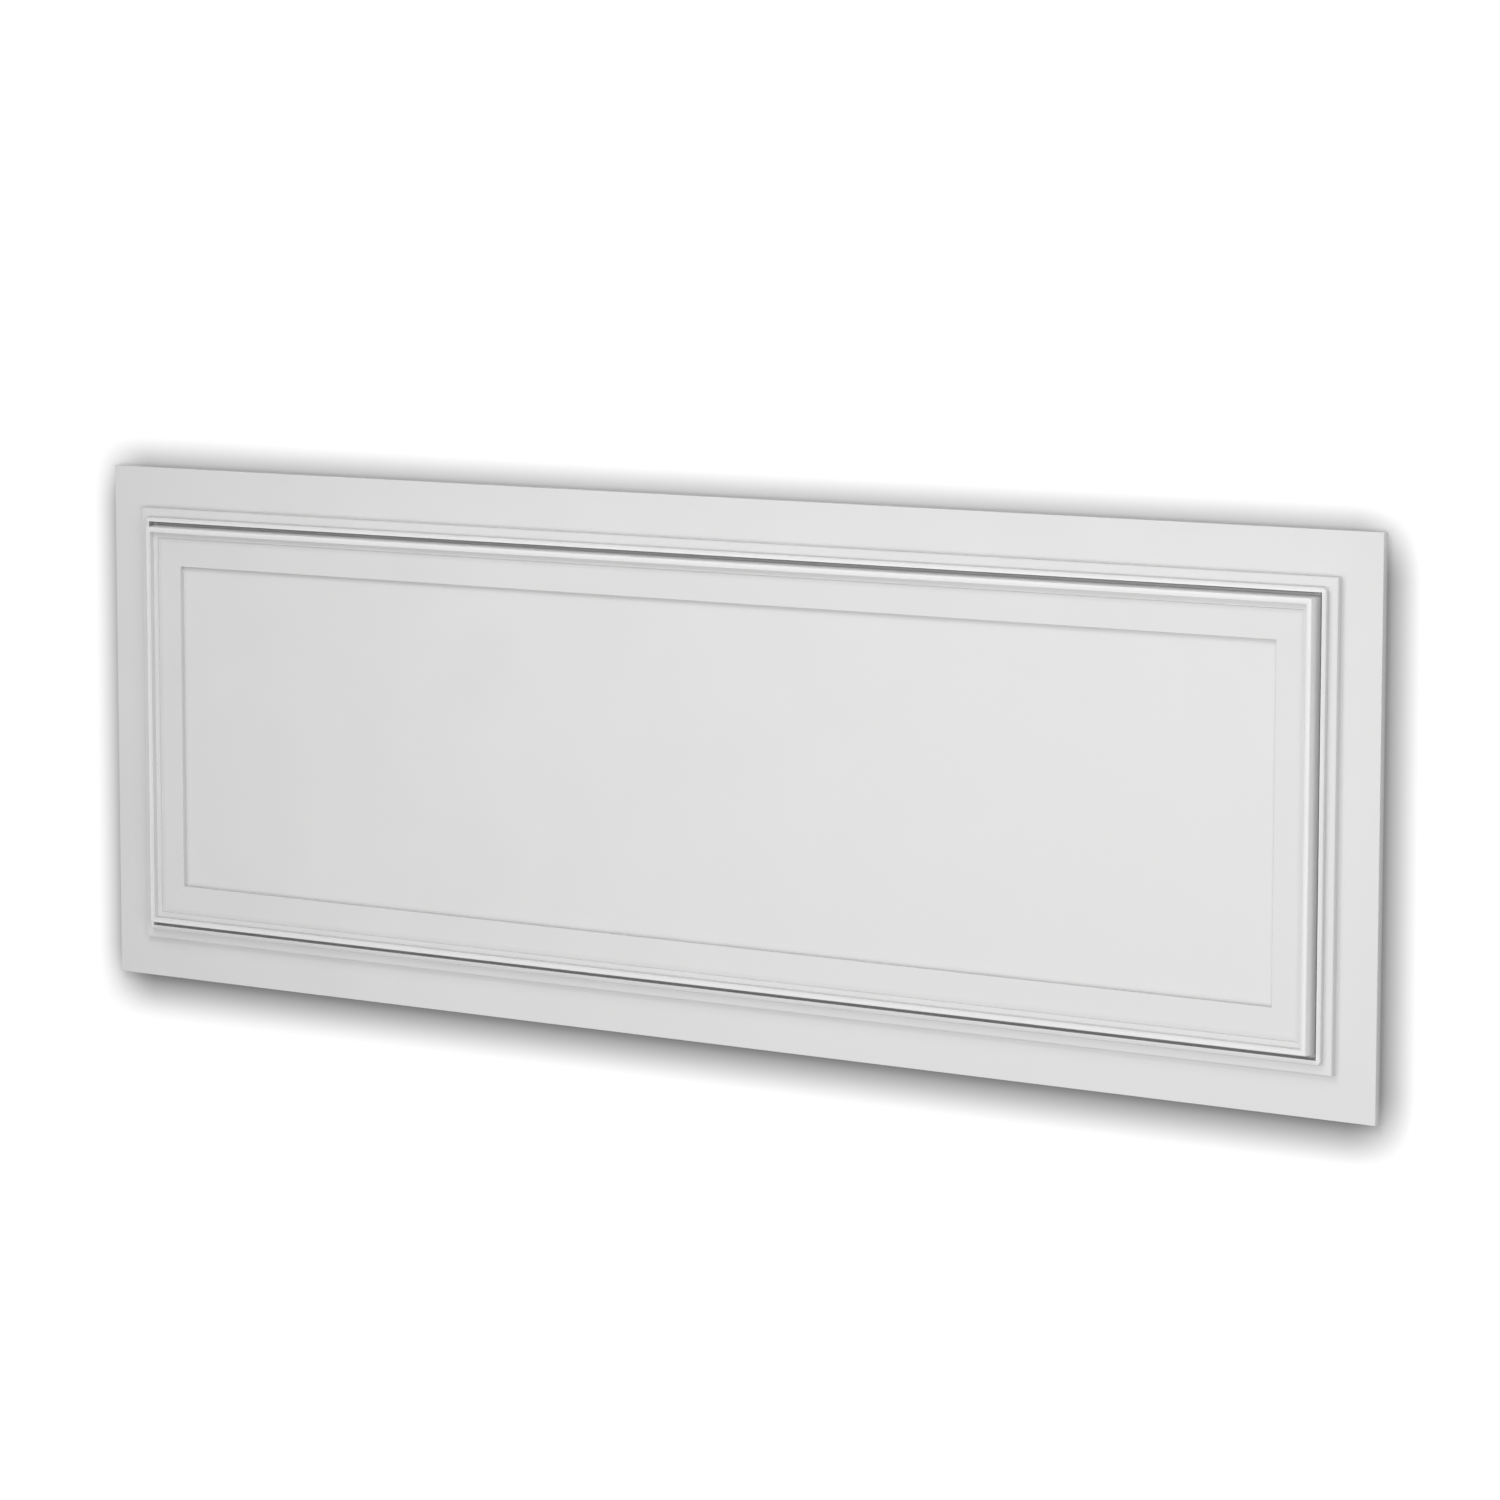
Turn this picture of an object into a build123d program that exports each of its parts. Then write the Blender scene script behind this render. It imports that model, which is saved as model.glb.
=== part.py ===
from build123d import *
import os

# Moulded three-dimensional wall panel, lying on its back with its decorated face up.
# The panel is one casting of dense foam. From the edge inwards it has a flat margin, a
# raised band, a small bead, a deep quirk and a tall ridge. Inside the ridge a ledge steps
# down to a raised field, and the field frames a sunk centre. The bead turns the corners
# in small arcs, and the rest is mitred. The back is flat, for glue.
# X is along the panel, Y is up the wall and Z points out of it. Sizes are in millimetres.

# Overall size
panel_length = 1400.0
panel_height = 500.0
edge_thickness = 6.8

# Widths across the border, from the panel's edge inwards
margin_width = 38.9
band_width = 8.7
bead_width = 4.3
quirk_width = 3.3
ridge_lean = 1.3
ridge_width = 5.2
ledge_width = 5.0
field_width = 27.1

# Heights above the margin's face
band_rise = 5.8
bead_rise = 10.4
quirk_rise = 3.6
ridge_lean_rise = 13.8
ridge_rise = 20.2
ledge_rise = 14.6
field_rise = 13.0
centre_rise = 7.9

# Rounds
arris_round = 0.5
ridge_round = 0.9
bead_round = 0.9
foot_round = 0.5
bead_inner_corner = 0.2

# Stations across the border, from the panel's edge inwards
bead_start = margin_width + band_width
bead_line = bead_start + bead_width / 2
quirk_start = bead_start + bead_width
ridge_foot = quirk_start + quirk_width
ridge_start = ridge_foot + ridge_lean
ledge_start = ridge_start + ridge_width
field_start = ledge_start + ledge_width
centre_start = field_start + field_width
border_width = centre_start + 2 * foot_round

# Levels above the back
band_level = edge_thickness + band_rise
bead_level = edge_thickness + bead_rise
quirk_level = edge_thickness + quirk_rise
ridge_lean_level = edge_thickness + ridge_lean_rise
ridge_level = edge_thickness + ridge_rise
ledge_level = edge_thickness + ledge_rise
field_level = edge_thickness + field_rise
centre_level = edge_thickness + centre_rise

# The border's outline: distance from the panel's edge, height above the back, round of the corner
border_outline = [
    (0, 0, 0),
    (0, edge_thickness, arris_round),
    (margin_width, edge_thickness, foot_round),
    (margin_width, band_level, arris_round),
    (quirk_start, band_level, 0),
    (quirk_start, quirk_level, 0),
    (ridge_foot, quirk_level, foot_round),
    (ridge_start, ridge_lean_level, 0),
    (ridge_start, ridge_level, ridge_round),
    (ledge_start, ridge_level, ridge_round),
    (ledge_start, ledge_level, foot_round),
    (field_start, ledge_level, arris_round),
    (field_start, field_level, foot_round),
    (centre_start, field_level, arris_round),
    (centre_start, centre_level, foot_round),
    (border_width, centre_level, 0),
    (border_width, 0, 0),
]

# The bead's outline about its own line, on a stem that stands in the band
bead_outline = [
    (-bead_width / 2, quirk_level, 0),
    (-bead_width / 2, bead_level, bead_round),
    (bead_width / 2, bead_level, bead_round),
    (bead_width / 2, quirk_level, 0),
]


def side_section(inset):
    """A plane across the middle of the lower side: its X runs inwards, and its Y runs up."""
    return Plane(origin=(0, inset - panel_height / 2, 0), x_dir=(0, 1, 0), z_dir=(1, 0, 0))


def loop_at(inset):
    """A loop of points round the panel at this inset, begun at the middle of the lower side."""
    half_x = panel_length / 2 - inset
    half_y = panel_height / 2 - inset
    return [(0, -half_y), (half_x, -half_y), (half_x, half_y), (-half_x, half_y), (-half_x, -half_y)]


def rounded_outline(outline):
    """The closed line through an outline's corners, each with its own round."""
    corners = [(across, level) for across, level, corner_round in outline]
    rounds = [corner_round for across, level, corner_round in outline]
    return FilletPolyline(*corners, radius=rounds, close=True)


with BuildPart() as wall_panel:
    # Border: one outline taken round the panel, with mitred corners
    with BuildLine() as border_path:
        Polyline(*loop_at(0), close=True)
    with BuildSketch(side_section(0)) as border_section:
        with BuildLine():
            rounded_outline(border_outline)
        make_face()
    sweep(path=border_path.wire(), transition=Transition.RIGHT)

    # Sunk centre: a plain slab that fills the border's opening
    with BuildSketch() as centre_outline:
        Rectangle(panel_length - 2 * border_width, panel_height - 2 * border_width)
    extrude(amount=centre_level)

    # Bead: its outline taken round a loop whose corners are small arcs
    with BuildLine() as bead_path:
        corner_arc = bead_inner_corner + bead_width / 2
        FilletPolyline(*loop_at(bead_line), radius=[0, *[corner_arc] * 4], close=True)
    with BuildSketch(side_section(bead_line)) as bead_section:
        with BuildLine():
            rounded_outline(bead_outline)
        make_face()
    sweep(path=bead_path.wire(), transition=Transition.RIGHT)

wall_panel.part.label = "wall_panel"
os.makedirs("parts", exist_ok=True)
export_step(wall_panel.part, "parts/wall_panel.step")
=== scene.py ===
import math

import bpy
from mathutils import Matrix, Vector


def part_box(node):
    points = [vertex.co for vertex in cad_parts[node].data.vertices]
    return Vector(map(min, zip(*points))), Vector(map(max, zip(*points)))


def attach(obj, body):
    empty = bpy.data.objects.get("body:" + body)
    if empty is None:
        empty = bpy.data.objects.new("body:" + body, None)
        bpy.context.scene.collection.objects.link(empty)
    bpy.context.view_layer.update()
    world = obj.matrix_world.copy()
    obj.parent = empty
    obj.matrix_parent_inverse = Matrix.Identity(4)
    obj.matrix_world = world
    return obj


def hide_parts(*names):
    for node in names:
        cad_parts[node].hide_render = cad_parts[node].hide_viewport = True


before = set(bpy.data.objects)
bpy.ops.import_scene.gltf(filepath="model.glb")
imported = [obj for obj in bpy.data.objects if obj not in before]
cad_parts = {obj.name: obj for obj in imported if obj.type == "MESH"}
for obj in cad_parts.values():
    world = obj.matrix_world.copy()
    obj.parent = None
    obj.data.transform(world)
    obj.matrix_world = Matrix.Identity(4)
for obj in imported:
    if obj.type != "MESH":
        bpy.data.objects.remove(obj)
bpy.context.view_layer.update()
panelLow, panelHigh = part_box("wall_panel")   # the panel is centred on x and y
print("frame loaded")


def deselectAll():
    bpy.ops.object.select_all(action="DESELECT")


def millimetres(value):
    return value / 1000


# Panel, in millimetres and degrees: widths run across the border from the edge inwards,
# and rises are above the margin
panelSettings = {
    "edge": 6.8,
    "marginWidth": 38.9,
    "bandWidth": 8.7, "bandRise": 5.8,
    "beadWidth": 4.9, "beadRise": 10.4,
    "quirkWidth": 2.7, "quirkRise": 3.6,
    "leanWidth": 1.3, "leanRise": 13.8,
    "ridgeWidth": 5.2, "ridgeRise": 20.2,
    "ledgeWidth": 5.0, "ledgeRise": 14.6,
    "fieldWidth": 27.1, "fieldRise": 13.0,
    "centreRise": 7.9,
    "arrisRound": 0.5, "bigRound": 0.9, "roundSteps": 4,
    "beadOuterCorner": 4.5, "beadInnerCorner": 0.2, "cornerSteps": 8,
    "near": 0.05, "facing": 0.9, "mergeDistance": 0.005,
    "sharpAngle": 30, "smoothAngle": 35, "faceWeight": 100,
}


def selectFaces(test):
    # edit mode: the faces whose centre and normal pass the test
    bpy.ops.mesh.select_all(action="DESELECT")
    bpy.ops.object.mode_set(mode="OBJECT")
    for face in bpy.context.object.data.polygons:
        face.select = test(face.center, face.normal)
    bpy.ops.object.mode_set(mode="EDIT")


def selectEdges(test):
    # edit mode: the edges whose two ends pass the test
    bpy.ops.mesh.select_mode(type="EDGE")
    bpy.ops.mesh.select_all(action="DESELECT")
    bpy.ops.object.mode_set(mode="OBJECT")
    mesh = bpy.context.object.data
    for edge in mesh.edges:
        ends = [mesh.vertices[index].co for index in edge.vertices]
        edge.select = test(*ends)
    bpy.ops.object.mode_set(mode="EDIT")


def roundSelected(radius, steps):
    bpy.ops.mesh.bevel(offset=millimetres(radius), segments=steps, profile=0.5, affect="EDGES")


def stepIn(width, rise=0):
    # inwards over a flat, or up a lean where a rise is given
    bpy.ops.mesh.inset(thickness=millimetres(width), depth=millimetres(rise), use_even_offset=True)


def stepUp(rise):
    bpy.ops.mesh.extrude_region_move(TRANSFORM_OT_translate={"value": (0, 0, millimetres(rise))})


def roundBeadCorner(inset, radius):
    # the four upright edges of the bead's wall at this inset
    s = panelSettings
    wallX, wallY = panelHigh.x - millimetres(inset), panelHigh.y - millimetres(inset)
    near = millimetres(s["near"])

    def isUpright(first, second):
        sameSpot = abs(first.x - second.x) < near and abs(first.y - second.y) < near
        return sameSpot and abs(abs(first.x) - wallX) < near and abs(abs(first.y) - wallY) < near

    selectEdges(isUpright)
    roundSelected(radius, s["cornerSteps"])


def roundLevel(rise, radius):
    # the sharp edges that lie at this height above the margin
    s = panelSettings
    near, height = millimetres(s["near"]), millimetres(s["edge"] + rise)
    selectEdges(lambda first, second: abs(first.z - height) < near and abs(second.z - height) < near)
    bpy.ops.object.mode_set(mode="OBJECT")
    mesh = bpy.context.object.data
    chosen = {edge.key for edge in mesh.edges if edge.select}
    normals = {}
    for face in mesh.polygons:
        for key in face.edge_keys:
            if key in chosen:
                normals.setdefault(key, []).append(face.normal.copy())
    for edge in mesh.edges:
        sides = normals.get(edge.key, [])
        edge.select = len(sides) == 2 and sides[0].angle(sides[1]) > math.radians(s["sharpAngle"])
    for vertex in mesh.vertices:
        vertex.select = False
    for face in mesh.polygons:
        face.select = False
    bpy.ops.object.mode_set(mode="EDIT")
    roundSelected(radius, s["roundSteps"])


def addPanel():
    s = panelSettings
    size = (panelHigh.x - panelLow.x, panelHigh.y - panelLow.y, millimetres(s["edge"]))
    deselectAll()
    bpy.ops.mesh.primitive_cube_add(size=1, location=(0, 0, size[2] / 2), scale=size)
    panel = bpy.context.object
    panel.name = "panelSkin"
    bpy.ops.object.transform_apply(location=True, rotation=True, scale=True)

    # the face's steps, from the margin in to the sunk centre
    bpy.ops.object.mode_set(mode="EDIT")
    bpy.ops.mesh.select_mode(type="FACE")
    selectFaces(lambda centre, normal: normal.z > s["facing"])
    stepIn(s["marginWidth"])
    stepUp(s["bandRise"])
    stepIn(s["bandWidth"])
    stepUp(s["beadRise"] - s["bandRise"])
    stepIn(s["beadWidth"])
    stepUp(s["quirkRise"] - s["beadRise"])
    stepIn(s["quirkWidth"])
    stepIn(s["leanWidth"], s["leanRise"] - s["quirkRise"])
    stepUp(s["ridgeRise"] - s["leanRise"])
    stepIn(s["ridgeWidth"])
    stepUp(s["ledgeRise"] - s["ridgeRise"])
    stepIn(s["ledgeWidth"])
    stepUp(s["fieldRise"] - s["ledgeRise"])
    stepIn(s["fieldWidth"])
    stepUp(s["centreRise"] - s["fieldRise"])

    beadInset = s["marginWidth"] + s["bandWidth"]
    roundBeadCorner(beadInset, s["beadOuterCorner"])
    roundBeadCorner(beadInset + s["beadWidth"], s["beadInnerCorner"])
    for rise in ("bandRise", "quirkRise", "ledgeRise", "fieldRise", "centreRise"):
        roundLevel(s[rise], s["arrisRound"])
    roundLevel(0, s["arrisRound"])
    for rise in ("beadRise", "ridgeRise"):
        roundLevel(s[rise], s["bigRound"])

    bpy.ops.mesh.select_all(action="SELECT")
    bpy.ops.mesh.remove_doubles(threshold=millimetres(s["mergeDistance"]))
    bpy.ops.mesh.normals_make_consistent(inside=False)
    bpy.ops.object.mode_set(mode="OBJECT")

    # flat faces keep straight normals, and the rounds shade smoothly between them
    bpy.ops.object.shade_smooth_by_angle(angle=math.radians(s["smoothAngle"]))
    weights = panel.modifiers.new("faceWeights", "WEIGHTED_NORMAL")
    weights.mode = "FACE_AREA"
    weights.weight = s["faceWeight"]
    weights.keep_sharp = True
    bpy.ops.object.modifier_apply(modifier=weights.name)
    return panel


def feed(tree, source, target):
    # a socket is linked, and a plain number or vector is set
    if isinstance(source, bpy.types.NodeSocket):
        tree.links.new(source, target)
    else:
        target.default_value = source


def addMath(tree, operation, *values, kind="ShaderNodeMath"):
    node = tree.nodes.new(kind)
    node.operation = operation
    for index, value in enumerate(values):
        feed(tree, value, node.inputs[index])
    return node.outputs["Value"] if operation == "LENGTH" else node.outputs[0]


def addVectorMath(tree, operation, *values):
    return addMath(tree, operation, *values, kind="ShaderNodeVectorMath")


def addRange(tree, value, fromRange=(0, 1), toRange=(0, 1), interpolation="LINEAR"):
    node = tree.nodes.new("ShaderNodeMapRange")
    node.interpolation_type = interpolation
    names = ("Value", "From Min", "From Max", "To Min", "To Max")
    for name, source in zip(names, (value, *fromRange, *toRange)):
        feed(tree, source, node.inputs[name])
    return node.outputs["Result"]


def addNoise(tree, place, scale, detail, roughness):
    noise = tree.nodes.new("ShaderNodeTexNoise")
    names = ("Vector", "Scale", "Detail", "Roughness")
    for name, source in zip(names, (place, scale, detail, roughness)):
        feed(tree, source, noise.inputs[name])
    return noise.outputs["Fac"]


def splitVector(tree, vector):
    split = tree.nodes.new("ShaderNodeSeparateXYZ")
    tree.links.new(vector, split.inputs[0])
    return split.outputs


def newGroup(name, inNames, outNames):
    group = bpy.data.node_groups.new(name, "ShaderNodeTree")
    for direction, names in (("INPUT", inNames), ("OUTPUT", outNames)):
        for socketName in names:
            group.interface.new_socket(socketName, in_out=direction, socket_type="NodeSocketFloat")
    return group


# Finish: one grain for the primed face and the raw back, at two strengths
primerSettings = {
    "light": (0.764, 0.764, 0.762), "dark": (0.750, 0.750, 0.748),
    "rough": (0.40, 0.50), "specular": 0.35, "bump": 0.000005,
    "grain": 900.0, "cloud": 11.0,
}
backSettings = {
    "light": (0.780, 0.768, 0.730), "dark": (0.722, 0.706, 0.662),
    "rough": (0.75, 0.92), "specular": 0.35, "bump": 0.0002,
    "grain": 420.0, "cloud": 9.0,
}
grainSettings = {
    "fineDetail": 3, "fineRoughness": 0.55, "broadDetail": 2, "broadRoughness": 0.5,
    "fineShare": 0.25, "toneRange": (0.45, 0.80),
}


def makeGrainGroup():
    # in: the sizes of the fine grain and of the broad clouds; out: a height and a tone mask
    s = grainSettings
    group = newGroup("foamGrain", ("Grain", "Cloud"), ("Height", "Tone"))
    groupIn = group.nodes.new("NodeGroupInput")
    groupOut = group.nodes.new("NodeGroupOutput")
    place = group.nodes.new("ShaderNodeTexCoord").outputs["Object"]
    fine = addNoise(group, place, groupIn.outputs["Grain"], s["fineDetail"], s["fineRoughness"])
    broad = addNoise(group, place, groupIn.outputs["Cloud"], s["broadDetail"], s["broadRoughness"])
    mixed = addMath(group, "MULTIPLY_ADD", fine, s["fineShare"], broad)   # mostly cloud, with a little grain
    group.links.new(fine, groupOut.inputs["Height"])
    group.links.new(addRange(group, mixed, s["toneRange"]), groupOut.inputs["Tone"])
    return group


# Relief: painted highlight and painted shade, set by fit to the photograph's crisp contrast. It isn't a
# known
# property of the primer: painted highlights on the crests, much painted shade in the quirk, a little at each
# step.
# Each stop is a distance from the panel's edge in millimetres and a share of the primer's own tone.
reliefHighlightShadeSettings = {
    "from": 36.0, "to": 100.0, "least": 0.60, "most": 1.20,
    "stops": (
        (36.0, 1.00), (38.2, 1.00), (38.8, 0.92), (39.4, 0.92), (40.6, 1.00), (44.6, 1.00), (46.7, 1.04),
        (47.5, 0.88), (48.2, 0.98), (50.0, 1.06), (51.4, 1.16), (52.0, 1.14),
        (52.5, 0.60), (53.4, 0.64), (54.1, 0.90), (55.0, 0.95), (55.7, 1.08),
        (56.5, 1.13), (58.6, 1.13), (60.0, 1.06), (61.2, 1.02), (61.7, 0.90), (62.4, 0.97), (66.0, 0.97),
        (66.6, 0.88), (68.4, 0.93), (72.0, 0.99), (93.2, 0.99),
        (93.8, 0.86), (94.7, 0.89), (96.5, 0.98), (99.0, 1.01),
    ),
}


def makeReliefHighlightShadeGroup():
    # out: the primer's tone with painted highlight and painted shade, at this distance from the panel's edge
    s = reliefHighlightShadeSettings
    group = newGroup("reliefPaintedHighlightShade", (), ("Tone",))
    groupOut = group.nodes.new("NodeGroupOutput")
    place = group.nodes.new("ShaderNodeTexCoord").outputs["Object"]
    folded = addVectorMath(group, "ABSOLUTE", place)
    inset = splitVector(group, addVectorMath(group, "SUBTRACT", panelHigh, folded))
    nearest = addMath(group, "MINIMUM", inset["X"], inset["Y"])
    share = addRange(group, nearest, (millimetres(s["from"]), millimetres(s["to"])))

    ramp = group.nodes.new("ShaderNodeValToRGB")
    stops = ramp.color_ramp.elements
    stops.remove(stops[1])
    for index, (distance, tone) in enumerate(s["stops"]):
        position = (distance - s["from"]) / (s["to"] - s["from"])
        stop = stops[0] if index == 0 else stops.new(position)
        grey = (tone - s["least"]) / (s["most"] - s["least"])
        stop.color = (grey, grey, grey, 1)
    group.links.new(share, ramp.inputs["Fac"])
    tone = addRange(group, ramp.outputs["Color"], toRange=(s["least"], s["most"]))
    group.links.new(tone, groupOut.inputs["Tone"])
    return group


def makeFoamMaterial(name, s, grainGroup, highlightShadeGroup=None):
    material = bpy.data.materials.new(name)
    material.use_nodes = True
    tree = material.node_tree
    nodes, links = tree.nodes, tree.links
    shader = nodes["Principled BSDF"]
    shader.inputs["Specular IOR Level"].default_value = s["specular"]
    grain = nodes.new("ShaderNodeGroup")
    grain.node_tree = grainGroup
    grain.inputs["Grain"].default_value = s["grain"]
    grain.inputs["Cloud"].default_value = s["cloud"]

    mix = nodes.new("ShaderNodeMix")
    mix.data_type = "RGBA"
    mix.inputs[6].default_value = (*s["dark"], 1)
    mix.inputs[7].default_value = (*s["light"], 1)
    links.new(grain.outputs["Tone"], mix.inputs[0])
    colour = mix.outputs[2]
    # the relief's painted highlights and painted shade scale the primer's colour
    if highlightShadeGroup:
        highlightShadeNode = nodes.new("ShaderNodeGroup")
        highlightShadeNode.node_tree = highlightShadeGroup
        paintedLightScale = nodes.new("ShaderNodeVectorMath")
        paintedLightScale.operation = "SCALE"
        links.new(colour, paintedLightScale.inputs[0])
        links.new(highlightShadeNode.outputs["Tone"], paintedLightScale.inputs["Scale"])
        colour = paintedLightScale.outputs[0]

    bump = nodes.new("ShaderNodeBump")
    bump.inputs["Distance"].default_value = s["bump"]
    links.new(grain.outputs["Height"], bump.inputs["Height"])
    links.new(colour, shader.inputs["Base Color"])
    links.new(addRange(tree, grain.outputs["Tone"], toRange=s["rough"]), shader.inputs["Roughness"])
    links.new(bump.outputs["Normal"], shader.inputs["Normal"])
    return material


def finishPanel(panel):
    grainGroup = makeGrainGroup()
    materials = panel.data.materials
    materials.append(makeFoamMaterial("whitePrimer", primerSettings, grainGroup, makeReliefHighlightShadeGroup()))
    materials.append(makeFoamMaterial("rawFoamBack", backSettings, grainGroup))
    for face in panel.data.polygons:
        face.material_index = 1 if face.normal.z < -panelSettings["facing"] else 0
    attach(panel, "root")
    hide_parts("wall_panel")


# Stage, in metres: a white floor that keeps the shadow and is seen through from below
floorSettings = {
    "reach": 8.0, "drop": 0.00005, "holeInset": 0.0008, "colour": 0.92,
    "lift": (0.28, 0.65), "liftRange": (0.6, 1.7),
    "shadeShift": (0.0038, -0.0070, 0), "shadeIn": 0.038, "shadeOut": 0.046,
    "shadeDepth": 0.72, "toneCurve": 2.2,
}


def addFloorShade(tree):
    # the photograph's wide soft shade round the panel: 1 on the clear floor, less near the panel
    s = floorSettings
    place = tree.nodes.new("ShaderNodeTexCoord").outputs["Object"]
    folded = addVectorMath(tree, "ABSOLUTE", addVectorMath(tree, "SUBTRACT", place, s["shadeShift"]))
    away = splitVector(tree, folded)
    fades = []
    for axis, half in (("X", panelHigh.x), ("Y", panelHigh.y)):
        reach = (half - s["shadeIn"], half + s["shadeOut"])
        fades.append(addRange(tree, away[axis], reach, (1, 0), "SMOOTHSTEP"))
    seenTone = addRange(tree, addMath(tree, "MULTIPLY", *fades), toRange=(1, 1 - s["shadeDepth"]))
    return addMath(tree, "POWER", seenTone, s["toneCurve"])   # from a tone as seen to a level of light


def makeFloorMaterial():
    s = floorSettings
    material = bpy.data.materials.new("whiteFloor")
    material.use_nodes = True
    tree = material.node_tree
    nodes, links = tree.nodes, tree.links
    nodes.remove(nodes["Principled BSDF"])
    shade = addFloorShade(tree)
    diffuse = nodes.new("ShaderNodeBsdfDiffuse")
    links.new(addMath(tree, "MULTIPLY", shade, s["colour"]), diffuse.inputs["Color"])

    # the lamps reach less far than the floor, so its far part is lifted more
    place = nodes.new("ShaderNodeTexCoord").outputs["Object"]
    level = addRange(tree, addVectorMath(tree, "LENGTH", place), s["liftRange"], s["lift"], "SMOOTHSTEP")
    ray = nodes.new("ShaderNodeLightPath").outputs
    seen = addMath(tree, "MAXIMUM", ray["Is Camera Ray"], ray["Is Glossy Ray"])
    seen = addMath(tree, "MAXIMUM", seen, ray["Is Transmission Ray"])
    lift = addMath(tree, "MULTIPLY", addMath(tree, "MULTIPLY", seen, level), shade)
    glow = nodes.new("ShaderNodeEmission")
    links.new(lift, glow.inputs["Strength"])

    # from below the floor is clear
    lit = nodes.new("ShaderNodeAddShader")
    clear = nodes.new("ShaderNodeBsdfTransparent")
    side = nodes.new("ShaderNodeNewGeometry")
    choose = nodes.new("ShaderNodeMixShader")
    links.new(diffuse.outputs[0], lit.inputs[0])
    links.new(glow.outputs[0], lit.inputs[1])
    links.new(side.outputs["Backfacing"], choose.inputs[0])
    links.new(lit.outputs[0], choose.inputs[1])
    links.new(clear.outputs[0], choose.inputs[2])
    links.new(choose.outputs[0], nodes["Material Output"].inputs["Surface"])
    return material


def addFloor():
    # the hole lies wholly under the panel, so that the back can be lit and looked at from below
    s = floorSettings
    deselectAll()
    bpy.ops.mesh.primitive_grid_add(x_subdivisions=3, y_subdivisions=3, size=2)
    floor = bpy.context.object
    floor.name = "whiteFloor"
    for vertex in floor.data.vertices:
        spot = []
        for place, half in ((vertex.co.x, panelHigh.x), (vertex.co.y, panelHigh.y)):
            atHole = abs(place) < 0.5   # the grid's inner lines are a third of the way out
            spot.append(math.copysign(half - s["holeInset"] if atHole else s["reach"], place))
        vertex.co = (*spot, -s["drop"])
    bpy.ops.object.mode_set(mode="EDIT")
    selectFaces(lambda centre, normal: centre.length < s["holeInset"])
    bpy.ops.mesh.delete(type="FACE")
    bpy.ops.object.mode_set(mode="OBJECT")
    floor.data.materials.append(makeFloorMaterial())


# Light: an even sky, keys beyond the panel's right end and upper edge, and a fill over its left half
skySettings = {"strength": 0.404, "below": 0.95, "seen": 1.0, "horizon": (-0.06, -0.02)}
lampSettings = {
    "rightKey": {"place": (1.3, 0.0, 1.4), "size": 0.8, "power": 9.8},
    "upperKey": {"place": (0.0, 1.3, 1.4), "size": 0.8, "power": 10.5},
    "leftFill": {"place": (-0.45, -0.35, 1.4), "size": 0.8, "power": 4.5},
}


def addSky():
    s = skySettings
    world = bpy.data.worlds.new("whiteSky")
    bpy.context.scene.world = world
    world.use_nodes = True
    tree = world.node_tree
    background = tree.nodes["Background"]
    background.inputs["Color"].default_value = (1, 1, 1, 1)
    way = splitVector(tree, tree.nodes.new("ShaderNodeTexCoord").outputs["Generated"])
    # only the back sees the part below the horizon, and gets a plain light from it
    level = addRange(tree, way["Z"], s["horizon"], (s["below"], s["strength"]))
    # the camera sees plain white, and the panel gets the sky's level
    ray = tree.nodes.new("ShaderNodeLightPath")
    strength = addRange(tree, ray.outputs["Is Camera Ray"], toRange=(level, s["seen"]))
    tree.links.new(strength, background.inputs["Strength"])


def addLamps():
    for name, s in lampSettings.items():
        lamp = bpy.data.lights.new(name, "AREA")
        lamp.size = s["size"]
        lamp.energy = s["power"]
        lampObject = bpy.data.objects.new(name, lamp)
        lampObject.location = s["place"]
        lampObject.rotation_euler = Vector(s["place"]).to_track_quat("Z", "Y").to_euler()
        bpy.context.collection.objects.link(lampObject)


# Camera: looks down on the panel along the photograph's line of sight
cameraSettings = {"place": (2.8265, 0.6095, 3.952), "turn": (-6.902, 35.063, 0.06), "lens": 129.2}


def addCamera():
    s = cameraSettings
    camera = bpy.data.cameras.new("photoCamera")
    camera.lens = s["lens"]
    cameraObject = bpy.data.objects.new("photoCamera", camera)
    cameraObject.location = s["place"]
    cameraObject.rotation_euler = [math.radians(angle) for angle in s["turn"]]
    bpy.context.collection.objects.link(cameraObject)
    bpy.context.scene.camera = cameraObject


panel = addPanel()
print("panel modelled:", len(panel.data.polygons), "faces")
finishPanel(panel)
print("panel finished")
addFloor()
addSky()
addLamps()
addCamera()
bpy.context.scene.view_settings.view_transform = "Standard"
print("stage, lights and camera set")
